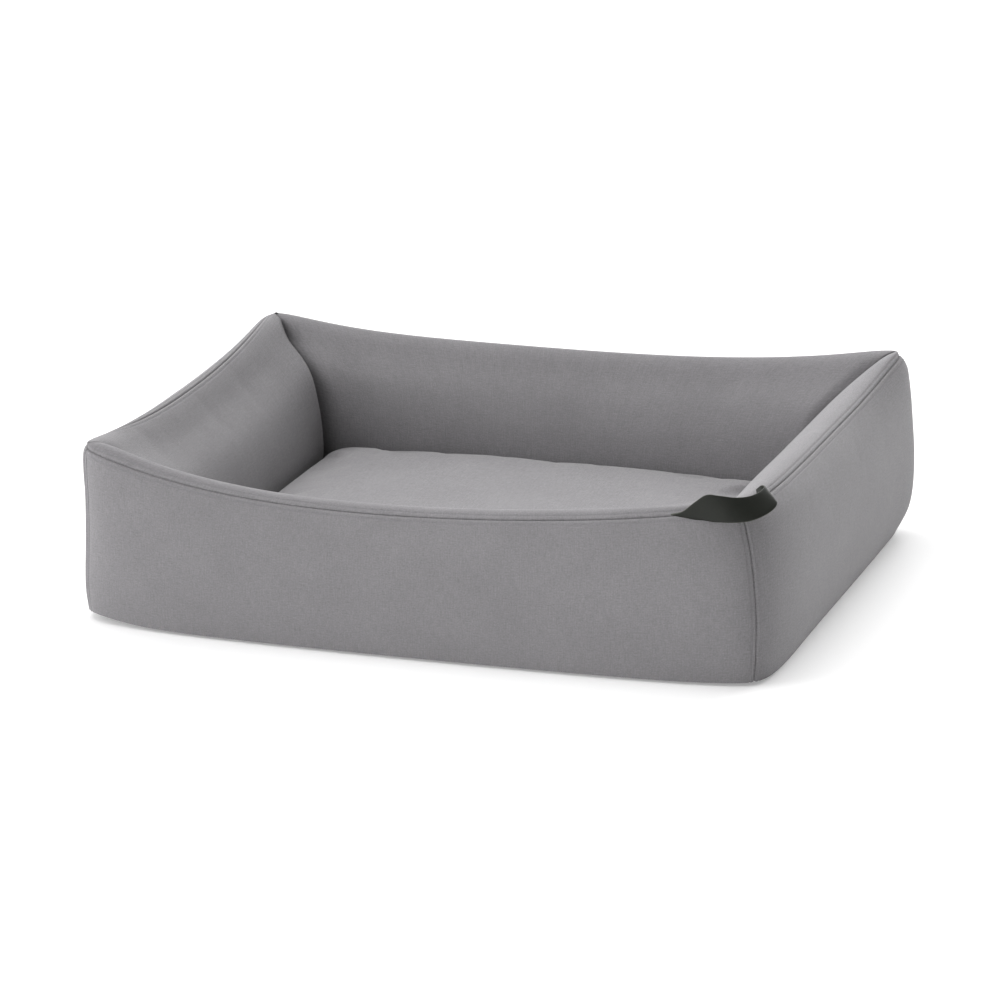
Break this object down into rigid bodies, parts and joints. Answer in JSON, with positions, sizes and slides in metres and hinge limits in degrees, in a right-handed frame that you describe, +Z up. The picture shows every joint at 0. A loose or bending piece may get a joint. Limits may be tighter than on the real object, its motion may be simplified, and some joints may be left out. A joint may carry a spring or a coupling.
{
  "type": "dog bed with a padded frame and loose cushion",
  "caption": "Low box-shaped dog bed: padded bolster frame with raised corners, zipped covers, a lift-out cushion and a leather loop on the front corner.",
  "frame": {"origin": "centre of the footprint, on the floor", "axes": "+X to the right along the wide side, +Y to the back, +Z up; the low front rim with the leather loop faces -Y"},
  "size_m": [0.872, 0.7223, 0.2324],
  "materials": {
    "cover_fabric": "mid-grey woven cotton with a short brushed nap, self-coloured double topstitching",
    "lining_fabric": "the cover's own mid-grey cloth, as the floor of the well",
    "base_fabric": "charcoal non-slip woven base cloth",
    "foam": null,
    "fibre_fill": "bonded polyester fibre",
    "leather": "blank dark green-black leather with a raw, paler cut edge",
    "zip_tape": "grey woven polyester tape",
    "zip_coil": "grey nylon coil",
    "zip_metal": "dark painted die-cast zinc"
  },
  "bodies": {
    "bed_frame": {"foam_front": "foam", "foam_right": "foam", "foam_back": "foam", "foam_left": "foam", "cover_front_outer": "cover_fabric", "cover_front_inner": "cover_fabric", "cover_right_outer": "cover_fabric", "cover_right_inner": "cover_fabric", "cover_back_outer": "cover_fabric", "cover_back_inner": "cover_fabric", "cover_left_outer": "cover_fabric", "cover_left_inner": "cover_fabric", "base_fabric": "base_fabric", "well_lining": "lining_fabric", "leather_loop": "leather", "frame_zip_tape_upper": "zip_tape", "frame_zip_tape_lower": "zip_tape", "frame_zip_coil_upper": "zip_coil", "frame_zip_coil_lower": "zip_coil", "frame_zip_stops": "zip_metal"},
    "frame_zip_slider": {"frame_zip_slider": "zip_metal"},
    "frame_zip_pull": {"frame_zip_pull": "zip_metal"},
    "cushion": {"cushion_bottom_panel": "cover_fabric", "cushion_top_panel": "cover_fabric", "cushion_side_band": "cover_fabric", "cushion_foam_core": "foam", "cushion_topper": "fibre_fill", "cushion_zip_tape_upper": "zip_tape", "cushion_zip_tape_lower": "zip_tape", "cushion_zip_coil_upper": "zip_coil", "cushion_zip_coil_lower": "zip_coil", "cushion_zip_stops": "zip_metal"},
    "cushion_zip_slider": {"cushion_zip_slider": "zip_metal"},
    "cushion_zip_pull": {"cushion_zip_pull": "zip_metal"}
  },
  "joints": [
    {"name": "cushion_lift", "type": "slide", "parent": "bed_frame", "child": "cushion", "axis": [0, 0, 1], "range_m": [0, 0.25]},
    {"name": "frame_zip_slide", "type": "slide", "parent": "bed_frame", "child": "frame_zip_slider", "axis": [-1, 0, 0], "range_m": [0, 0.539]},
    {"name": "frame_zip_pull_hinge", "type": "hinge", "parent": "frame_zip_slider", "child": "frame_zip_pull", "pos_m": [0.2755, 0.35935, 0.028], "axis": [0, 0, -1], "range_deg": [0, 160]},
    {"name": "cushion_zip_slide", "type": "slide", "parent": "cushion", "child": "cushion_zip_slider", "axis": [-1, 0, 0], "range_m": [0, 0.409]},
    {"name": "cushion_zip_pull_hinge", "type": "hinge", "parent": "cushion_zip_slider", "child": "cushion_zip_pull", "pos_m": [0.2105, 0.2512, 0.04], "axis": [0, 0, -1], "range_deg": [0, 12]}
  ]
}
